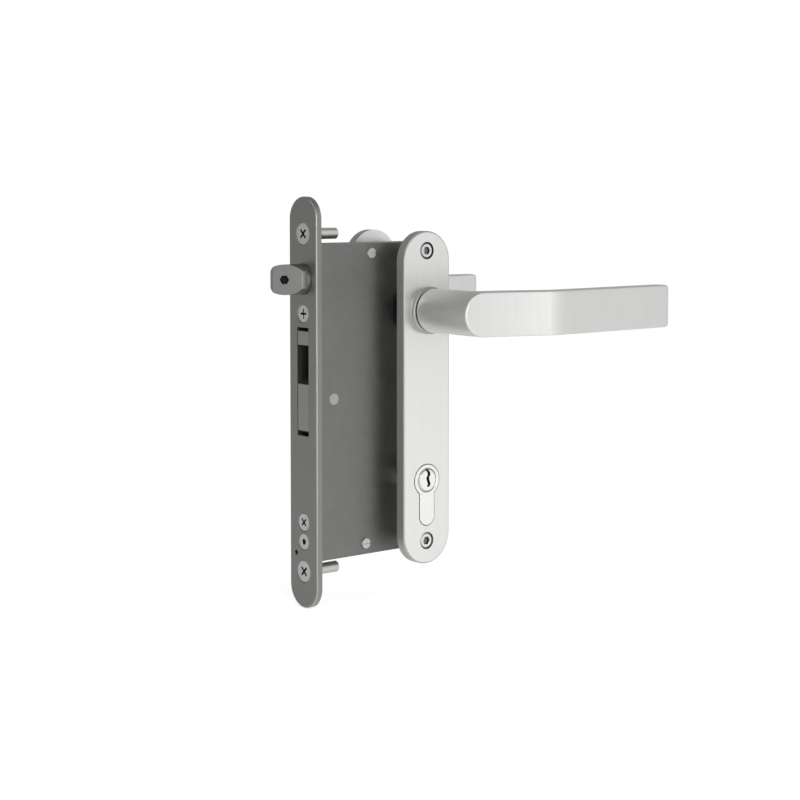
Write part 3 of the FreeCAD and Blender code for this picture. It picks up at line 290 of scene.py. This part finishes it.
def dress_nodes():
    for name, node in nodes.items():
        node.data.materials.clear()
        node.data.materials.append(MATERIAL_OF_NODE.get(name, MATERIAL_OF_SLOT[SLOT_OF_NODE[name]]))


# Sizes of the lock, in mm, from its own frame

SPINDLE_X = 60.0
SPINDLE_Z = 48.0
CYLINDER_Z = -44.0

# Levers: the bend, the holes that are cut to size, and the turned journal with the shoulder behind it
LEVER_BEND_X = 99.0
SQUARE_HOLE = 8.1
SQUARE_HOLE_END = 58.5
GRUB_HOLE = 6.1
GRUB_HOLE_DEPTH = 14.0
GRUB_OUT = 45.0
JOURNAL_RADIUS = 8.96
SHOULDER_RADIUS = 9.6
SHOULDER_DEPTH = 31.02
WASHER_DEPTH = 30.3

# Shield screws: how far out their faces are, their heights, and the radii and depth of a head's edge
SCREW_FACE = 25.7
UPPER_SCREW = 80.0
LOWER_SCREW = -77.0
HEAD_FLAT = 3.5
HEAD_EDGE = 4.4
HEAD_HEIGHT = 3.7

# Plugs: the radius, the radii past which the side, the face's rim and the wider chamfer lie, and how far out
# the face is. Then where the heads of the faceplate's screws are.
PLUG_RADIUS = 6.5
PLUG_SIDE = 6.4
PLUG_FACE_RIM = 5.5
CHAMFER_START = 5.4
PLUG_FACE = 26.8
PLATE_HEAD = -3.2

# Finish of the edges, in mm and steps. The skin is the remeshed lever's facet, which tumbling then smooths.

PLATE_RIM = 0.8
SHIELD_RIM = 1.1
SHIELD_RIM_STEPS = 4
PLUG_CHAMFER = 0.5
LEVER_BEND_ROUND = 4.0
LEVER_BEND_STEPS = 5
LEVER_SKIN = 0.55
LEVER_TUMBLING = 8

# How near in mm a point counts as on a face, an outline or the bend, how far past a rim its finish may
# reach, how deep a screw head's edge starts, and how near two points count as one
ON_FACE = 0.02
ON_OUTLINE = 0.05
ON_BEND = 0.1
PAST_RIM = 0.1
HEAD_EDGE_START = 0.03
SAME_POINT = 0.002

# How squarely the faces of a rim look outward, from 0 for a side to 1 for the flat front: the least and most
SHIELD_EDGE_MOST = 0.99
PLATE_EDGE_SPAN = (0.1, 0.985)
PLUG_CHAMFER_SPAN = (0.2, 0.97)

# Angles in degrees: facets that are one flat face, edges that are eased, and edges that shade as sharp
FLAT_FACETS = 0.3
EASED_ANGLE = 35
SHARP_ANGLE = 30
SHARP_LEVER_ANGLE = 40

SHIELDS = ("front_shield", "rear_shield")
PLUGS = ("plug_front", "plug_rear")
SUNK_HEADS = ("shield_screws", "shield_sleeves")
LEVERS = ("front_lever", "rear_lever")

# The nodes that get a finished copy, and how wide in mm its sharp edges are eased
EASED_EDGES = {
    "faceplate": 0.22,
    "front_shield": 0.12,
    "rear_shield": 0.12,
    "front_collar": 0.25,
    "rear_collar": 0.25,
    "latch_bolt": 0.25,
    "hook_bolt": 0.25,
    "cylinder_body": 0.25,
    "plug_front": 0.1,
    "plug_rear": 0.1,
    "shield_screws": 0.3,
    "shield_sleeves": 0.3,
    "gate_fixing_screws": 0.12,
    "case_screws": 0.12,
    "cylinder_screw": 0.12,
}

# Kinds of recess in mm: the radius that holds it, and from how deep to how deep its shade is painted
LATCH_SOCKET = (2.7, 0.25, 6.0)
SHIELD_SOCKET = (2.45, 0.25, 2.0)
KEY_SLOT = (5.9, 1.3, 18.5)
LARGE_CROSS = (3.3, 0.25, 3.0)
SMALL_CROSS = (2.8, 0.25, 3.0)
PLATE_SOCKET = (1.9, 0.25, 3.0)

# Recesses: the node, the middle of the mouth in mm, the way in, and the kind
RECESSES = (
    ("latch_bolt", (-15.3, 0.0, 65.7), (0.7071, 0.7071, 0.0), LATCH_SOCKET),
    ("shield_screws", (SPINDLE_X, -SCREW_FACE, UPPER_SCREW), (0, 1, 0), SHIELD_SOCKET),
    ("shield_screws", (SPINDLE_X, -SCREW_FACE, LOWER_SCREW), (0, 1, 0), SHIELD_SOCKET),
    ("shield_sleeves", (SPINDLE_X, SCREW_FACE, UPPER_SCREW), (0, -1, 0), SHIELD_SOCKET),
    ("shield_sleeves", (SPINDLE_X, SCREW_FACE, LOWER_SCREW), (0, -1, 0), SHIELD_SOCKET),
    ("plug_front", (SPINDLE_X, -PLUG_FACE, CYLINDER_Z), (0, 1, 0), KEY_SLOT),
    ("plug_rear", (SPINDLE_X, PLUG_FACE, CYLINDER_Z), (0, -1, 0), KEY_SLOT),
    ("gate_fixing_screws", (PLATE_HEAD, 0.0, 89.5), (1, 0, 0), LARGE_CROSS),
    ("gate_fixing_screws", (PLATE_HEAD, 0.0, -89.5), (1, 0, 0), LARGE_CROSS),
    ("case_screws", (PLATE_HEAD, 0.0, 47.5), (1, 0, 0), SMALL_CROSS),
    ("case_screws", (PLATE_HEAD, 0.0, -73.6), (1, 0, 0), PLATE_SOCKET),
    ("cylinder_screw", (PLATE_HEAD, 0.0, -63.2), (1, 0, 0), SMALL_CROSS),
)


# Copies that replace a node

def copy_of(name):
    """A copy of the node with its own mesh, active and ready to be finished."""
    source = nodes[name]
    piece = source.copy()
    piece.data = source.data.copy()
    piece.parent = None
    piece.name = name + "_finished"
    del piece["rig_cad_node"]
    bpy.context.scene.collection.objects.link(piece)
    activate(piece)
    return piece


def join_facets():
    """Merges the active piece's loose triangles, and its flat ones into whole faces."""
    bpy.ops.object.mode_set(mode="EDIT")
    bpy.ops.mesh.select_all(action="SELECT")
    bpy.ops.mesh.customdata_custom_splitnormals_clear()
    bpy.ops.mesh.remove_doubles(threshold=SAME_POINT * MM)
    bpy.ops.mesh.dissolve_limited(angle_limit=math.radians(FLAT_FACETS))
    bpy.ops.object.mode_set(mode="OBJECT")


def apply_modifier(piece, name, kind, **settings):
    """Adds a modifier with these settings to the active piece, and applies it."""
    modifier = piece.modifiers.new(name, kind)
    for setting, value in settings.items():
        setattr(modifier, setting, value)
    bpy.ops.object.modifier_apply(modifier=modifier.name)


def take_place_of(name, piece):
    """Puts the finished piece in the node's place and on its body, and hides the node."""
    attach(piece, BODY_OF_NODE[name])
    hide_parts(name)


def round_edges(piece, is_there, width_mm, steps):
    """Rounds the edges whose two ends are both there."""
    mesh = piece.data
    for face in mesh.polygons:
        face.select = False
    for vertex in mesh.vertices:
        vertex.select = False
    for edge in mesh.edges:
        edge.select = all(is_there(mesh.vertices[end].co / MM) for end in edge.vertices)
    bpy.context.tool_settings.mesh_select_mode = (False, True, False)
    bpy.ops.object.mode_set(mode="EDIT")
    bpy.ops.mesh.bevel(offset=width_mm * MM, segments=steps, affect="EDGES")
    bpy.ops.object.mode_set(mode="OBJECT")


def on_outline(box, axis, point, slack):
    """Whether a point in mm lies on the outline of an upright plate with round ends, within the slack.
    The plate's width runs along the axis, 0 for X and 1 for Y."""
    low, high = box
    radius = (high[axis] - low[axis]) / 2 / MM
    middle = (high[axis] + low[axis]) / 2 / MM
    nearest = min(max(point.z, low[2] / MM + radius), high[2] / MM - radius)
    return abs(math.hypot(point[axis] - middle, point.z - nearest) - radius) < slack


def shield_front_edge(name):
    """A test for points in mm on the edge round the shield's face."""
    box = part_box(name)
    face = box[0][1] if name == "front_shield" else box[1][1]
    return lambda point: abs(point.y - face / MM) < ON_FACE and on_outline(box, 0, point, ON_OUTLINE)


def widen_plug_chamfer(piece, name):
    """Makes the 45 degree chamfer round the plug's face twice as wide, so that it sinks into the bore."""
    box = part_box(name)
    face, inward = (box[0][1], 1.0) if name == "plug_front" else (box[1][1], -1.0)
    wider = PLUG_CHAMFER * MM
    for vertex in piece.data.vertices:
        across = vertex.co.x - SPINDLE_X * MM
        up = vertex.co.z - CYLINDER_Z * MM
        radius = math.hypot(across, up)
        depth = (vertex.co.y - face) * inward
        if depth < ON_FACE * MM and radius > PLUG_FACE_RIM * MM:
            vertex.co.x -= across / radius * wider
            vertex.co.z -= up / radius * wider
        elif abs(depth - wider) < ON_FACE * MM and radius > PLUG_SIDE * MM:
            vertex.co.y += inward * wider


def eased_copy(name):
    """The node's own form with its loose facets joined, its sharp edges eased and its curves smooth."""
    piece = copy_of(name)
    join_facets()
    if name in PLUGS:
        widen_plug_chamfer(piece, name)
    if name in SHIELDS:
        round_edges(piece, shield_front_edge(name), SHIELD_RIM, SHIELD_RIM_STEPS)
    apply_modifier(piece, "eased_edges", "BEVEL", width=EASED_EDGES[name] * MM, segments=3,
                   limit_method="ANGLE", angle_limit=math.radians(EASED_ANGLE))
    bpy.ops.object.shade_smooth_by_angle(angle=math.radians(SHARP_ANGLE))
    apply_modifier(piece, "flat_faces_stay_flat", "WEIGHTED_NORMAL", keep_sharp=True)
    take_place_of(name, piece)
    return piece


def cut_away(piece, cutter):
    """Cuts the cutter's form out of the piece, and takes the cutter away."""
    activate(piece)
    apply_modifier(piece, "hole", "BOOLEAN", operation="DIFFERENCE", solver="EXACT", object=cutter)
    bpy.data.objects.remove(cutter)


def cut_lever_holes(piece, side):
    """Cuts the square hole for the spindle and the round one for the grub screw to size.
    Side is -1 in front and 1 at the rear."""
    deselect()
    middle = (SPINDLE_X * MM, side * SQUARE_HOLE_END / 2 * MM, SPINDLE_Z * MM)
    bpy.ops.mesh.primitive_cube_add(size=1.0, location=middle)
    square = bpy.context.object
    square.scale = (SQUARE_HOLE * MM, SQUARE_HOLE_END * MM, SQUARE_HOLE * MM)
    cut_away(piece, square)
    deselect()
    below = (SPINDLE_X * MM, side * GRUB_OUT * MM, (SPINDLE_Z - GRUB_HOLE_DEPTH / 2) * MM)
    bpy.ops.mesh.primitive_cylinder_add(vertices=32, radius=GRUB_HOLE / 2 * MM, depth=GRUB_HOLE_DEPTH * MM,
                                        location=below)
    cut_away(piece, bpy.context.object)


def turn_journal(piece, side):
    """Turns the lever's journal and the shoulder behind it to size, so that they clear collar and washer."""
    for vertex in piece.data.vertices:
        across = vertex.co.x - SPINDLE_X * MM
        up = vertex.co.z - SPINDLE_Z * MM
        radius = math.hypot(across, up)
        depth = vertex.co.y * side
        if depth > SHOULDER_DEPTH * MM or radius < JOURNAL_RADIUS * MM:
            continue
        if depth > WASHER_DEPTH * MM:
            vertex.co.y = side * SHOULDER_DEPTH * MM
        if radius < SHOULDER_RADIUS * MM:
            trim = JOURNAL_RADIUS * MM / radius
            vertex.co.x = SPINDLE_X * MM + across * trim
            vertex.co.z = SPINDLE_Z * MM + up * trim


def at_lever_bend(point):
    """Whether a point in mm lies on the bend between the lever's neck and its arm."""
    return abs(point.x - LEVER_BEND_X) < ON_BEND


def tumbled_lever(name):
    """The lever with its bend and edges softly rounded, as on a casting that is tumbled before anodising."""
    piece = copy_of(name)
    join_facets()
    round_edges(piece, at_lever_bend, LEVER_BEND_ROUND, LEVER_BEND_STEPS)
    apply_modifier(piece, "even_skin", "REMESH", mode="VOXEL", voxel_size=LEVER_SKIN * MM)
    apply_modifier(piece, "soft_edges", "SMOOTH", factor=0.5, iterations=LEVER_TUMBLING)
    side = -1 if name == "front_lever" else 1
    turn_journal(piece, side)
    cut_lever_holes(piece, side)
    bpy.ops.object.shade_smooth_by_angle(angle=math.radians(SHARP_LEVER_ANGLE))
    take_place_of(name, piece)


def shortening_spring():
    """The latch spring, copied as it is and shaded smooth. In the lock it is squeezed between the latch and
    the case's rib as the latch draws back.
    """
    piece = copy_of("latch_spring")
    bpy.ops.object.shade_smooth_by_angle(angle=math.radians(SHARP_ANGLE))
    take_place_of("latch_spring", piece)
    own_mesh(piece)


# Finishes of some faces of a piece

def finish_faces(piece, material, is_there):
    """Gives the faces that are there another finish than the rest of the piece."""
    piece.data.materials.append(material)
    place = len(piece.data.materials) - 1
    for face in piece.data.polygons:
        if is_there(face):
            face.material_index = place


def darken_recess(piece, mouth, inward, kind):
    """Paints shade on the faces inside a recess, in a nearly black dull finish."""
    radius, start_depth, end_depth = kind

    def in_recess(face):
        reach = face.center / MM - Vector(mouth)
        depth = reach.dot(Vector(inward))
        return start_depth < depth < end_depth and (reach - Vector(inward) * depth).length < radius

    finish_faces(piece, recess_painted_shade, in_recess)


def dull_and_shade_shield_edge(piece, name):
    """Gives the shield's sides and its rounded front edge a duller finish, with painted shade making them
    darker.
    """
    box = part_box(name)
    finish_faces(piece, aluminium_edge_painted_shade, lambda face: (
        abs(face.normal.y) < SHIELD_EDGE_MOST
        and on_outline(box, 0, face.center / MM, SHIELD_RIM + PAST_RIM)))


def paint_plate_edge_highlight(piece):
    """Paints a highlight on the faceplate's rounded front edge, in a lighter and a little glossier steel."""
    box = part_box("faceplate")
    least, most = PLATE_EDGE_SPAN
    finish_faces(piece, plate_edge_painted_highlight, lambda face: (
        least < -face.normal.x < most
        and on_outline(box, 1, face.center / MM, PLATE_RIM + PAST_RIM)))


def shade_screw_head(piece, place, finish):
    """Paints shade on the chamfer and the side of the sunk head at this height, in the finish given."""
    def beside_face(face):
        middle = face.center / MM
        depth = SCREW_FACE - abs(middle.y)
        radius = math.hypot(middle.x - SPINDLE_X, middle.z - place)
        return HEAD_EDGE_START < depth < HEAD_HEIGHT + PAST_RIM and HEAD_FLAT < radius < HEAD_EDGE

    finish_faces(piece, finish, beside_face)


def dull_and_shade_plug_chamfer(piece):
    """Gives the chamfer round the plug's face painted shade: a greyer, duller nickel than its plated face.
    """
    least, most = PLUG_CHAMFER_SPAN

    def on_chamfer(face):
        radius = math.hypot(face.center.x / MM - SPINDLE_X, face.center.z / MM - CYLINDER_Z)
        return CHAMFER_START < radius < PLUG_RADIUS and least < abs(face.normal.y) < most

    finish_faces(piece, nickel_chamfer_painted_shade, on_chamfer)


# Stage

CAMERA_PLACE = Vector((-0.5412, -0.7394, 0.1117))
CAMERA_HEADING = math.radians(-39.23)
CAMERA_DOWN = math.radians(3.44)
CAMERA_LENS = 78.35
CAMERA_SHIFT = -0.13

FLOOR_SIZE = 30.0
FLOOR_GAP = 0.2
FLOOR_GLOW = 0.68

# How light the studio is round the lock: degrees anticlockwise from its faceplate's side, and the light.
# It is lightest in front and dimmest behind on the left, as in a small tent with one side closed.
STUDIO_LIGHT = (
    (0, 0.42), (30, 0.48), (58, 0.50), (76, 1.10), (93, 1.00), (112, 0.82), (129, 0.78),
    (150, 0.64), (172, 0.58), (225, 0.60), (280, 0.30), (309, 0.42), (360, 0.42),
)

# The share of that light overhead, and the heights of direction between which it falls to it
STUDIO_OVERHEAD = 0.5
SIDES_END = 0.3
TOP_STARTS = 0.95

# Lamps: the name, the place, the width and height in m, and the watts
SOFTBOXES = (
    ("key", (1.1, -1.4, 1.1), 1.2, 1.2, 1.5),
    ("edge_strip", (-0.50, -1.09, 0.1), 0.10, 1.2, 5.0),
    ("top_light", (-0.42, -0.10, 1.10), 0.50, 0.50, 1.2),
)


def set_camera():
    data = bpy.data.cameras.new("camera")
    data.lens = CAMERA_LENS
    data.sensor_width = 36.0
    data.shift_y = CAMERA_SHIFT
    data.clip_start = 0.01
    data.clip_end = 50.0
    camera = bpy.data.objects.new("camera", data)
    camera.location = CAMERA_PLACE
    camera.rotation_euler = (math.pi / 2 - CAMERA_DOWN, 0.0, CAMERA_HEADING)
    bpy.context.scene.collection.objects.link(camera)
    bpy.context.scene.camera = camera


def studio_shade(tree, direction):
    """The studio's light in a direction, as a strength."""
    split = add_node(tree, "ShaderNodeSeparateXYZ", links={0: direction})
    east = add_node(tree, "ShaderNodeMath", {"operation": "MULTIPLY", 1: -1.0},
                    {0: split.outputs["X"]}).outputs[0]
    north = add_node(tree, "ShaderNodeMath", {"operation": "MULTIPLY", 1: -1.0},
                     {0: split.outputs["Y"]}).outputs[0]
    turn = add_node(tree, "ShaderNodeMath", {"operation": "ARCTAN2"}, {0: north, 1: east}).outputs[0]
    share = add_node(tree, "ShaderNodeMath", {"operation": "DIVIDE", 1: math.tau}, {0: turn}).outputs[0]
    whole = add_node(tree, "ShaderNodeMath", {"operation": "WRAP", 1: 1.0, 2: 0.0}, {0: share}).outputs[0]
    ramp = add_node(tree, "ShaderNodeValToRGB", links={0: whole})
    stops = ramp.color_ramp.elements
    for place, (degrees, light) in enumerate(STUDIO_LIGHT):
        stop = stops[place] if place < 2 else stops.new(degrees / 360)
        stop.position = degrees / 360
        stop.color = (light, light, light, 1.0)
    over = add_node(tree, "ShaderNodeMapRange", {1: SIDES_END, 2: TOP_STARTS, 3: 1.0, 4: STUDIO_OVERHEAD},
                    {0: split.outputs["Z"]}).outputs[0]
    return add_node(tree, "ShaderNodeMath", {"operation": "MULTIPLY"},
                    {0: ramp.outputs[0], 1: over}).outputs[0]


def matt_white_paper():
    """White paper for the floor, matt, which stays white to the camera round the object's soft shadow."""
    material, tree = new_material("matt_white_paper")
    paper = add_node(tree, "ShaderNodeBsdfPrincipled", {"Base Color": linear("#E8E8E8"), "Roughness": 0.9})
    place = add_node(tree, "ShaderNodeNewGeometry").outputs["Position"]
    away = add_node(tree, "ShaderNodeVectorMath", {"operation": "NORMALIZE"}, {0: place}).outputs[0]
    shade = studio_shade(tree, away)
    path = add_node(tree, "ShaderNodeLightPath")
    mirrored = add_node(tree, "ShaderNodeMath", {"operation": "MULTIPLY"},
                        {0: path.outputs["Is Glossy Ray"], 1: shade}).outputs[0]
    seen = add_node(tree, "ShaderNodeMath", {"operation": "MAXIMUM"},
                    {0: path.outputs["Is Camera Ray"], 1: mirrored}).outputs[0]
    strength = add_node(tree, "ShaderNodeMath", {"operation": "MULTIPLY", 1: FLOOR_GLOW},
                        {0: seen}).outputs[0]
    glow = add_node(tree, "ShaderNodeEmission", {"Color": (1.0, 1.0, 1.0, 1.0)}, {"Strength": strength})
    both = add_node(tree, "ShaderNodeAddShader", links={0: paper.outputs[0], 1: glow.outputs[0]})
    close_material(tree, both)
    return material


def set_floor():
    deselect()
    height = cad_box[0][2] - FLOOR_GAP * MM
    bpy.ops.mesh.primitive_plane_add(size=FLOOR_SIZE, location=(0.0, 0.0, height))
    floor = bpy.context.object
    floor.name = "floor"
    bpy.ops.object.transform_apply(location=True)
    floor.data.materials.append(matt_white_paper())


def softbox(name, place, width, height, watts):
    """A soft rectangular lamp that faces the lock and isn't seen by the camera."""
    light = bpy.data.lights.new(name, "AREA")
    light.shape = "RECTANGLE"
    light.size = width
    light.size_y = height
    light.energy = watts
    lamp = bpy.data.objects.new(name, light)
    lamp.location = place
    lamp.rotation_euler = (-Vector(place)).to_track_quat("-Z", "Y").to_euler()
    lamp.visible_camera = False
    bpy.context.scene.collection.objects.link(lamp)


def set_world():
    """The studio round the lock, which the camera itself sees as plain white."""
    world = bpy.data.worlds.new("studio")
    world.use_nodes = True
    tree = world.node_tree
    tree.nodes.clear()
    direction = add_node(tree, "ShaderNodeTexCoord").outputs["Generated"]
    shade = studio_shade(tree, direction)
    seen = add_node(tree, "ShaderNodeLightPath").outputs["Is Camera Ray"]
    strength = add_node(tree, "ShaderNodeMath", {"operation": "MAXIMUM"}, {0: seen, 1: shade}).outputs[0]
    sky = add_node(tree, "ShaderNodeBackground", {"Color": (1.0, 1.0, 1.0, 1.0)}, {"Strength": strength})
    output = add_node(tree, "ShaderNodeOutputWorld")
    tree.links.new(sky.outputs[0], output.inputs["Surface"])
    bpy.context.scene.world = world


dress_nodes()
finished = {name: eased_copy(name) for name in EASED_EDGES}
# Painted shade inside the sockets, the key slots and the screws' recesses
for recessed, mouth, inward, kind in RECESSES:
    darken_recess(finished[recessed], mouth, inward, kind)
# Painted shade on the shields' sides and rounded front edges
for shield in SHIELDS:
    dull_and_shade_shield_edge(finished[shield], shield)
# Painted shade on the plugs' chamfers
for plug in PLUGS:
    dull_and_shade_plug_chamfer(finished[plug])
# Painted shade round the sunk screw heads, darker on the upper heads than on the lower
for heads in SUNK_HEADS:
    shade_screw_head(finished[heads], UPPER_SCREW, screw_edge_deep_painted_shade)
    shade_screw_head(finished[heads], LOWER_SCREW, screw_edge_light_painted_shade)
# Painted highlight on the faceplate's rounded front edge
paint_plate_edge_highlight(finished["faceplate"])
for lever in LEVERS:
    tumbled_lever(lever)
shortening_spring()

set_camera()
set_floor()
set_world()
for lamp in SOFTBOXES:
    softbox(*lamp)
bpy.context.scene.view_settings.view_transform = "Standard"
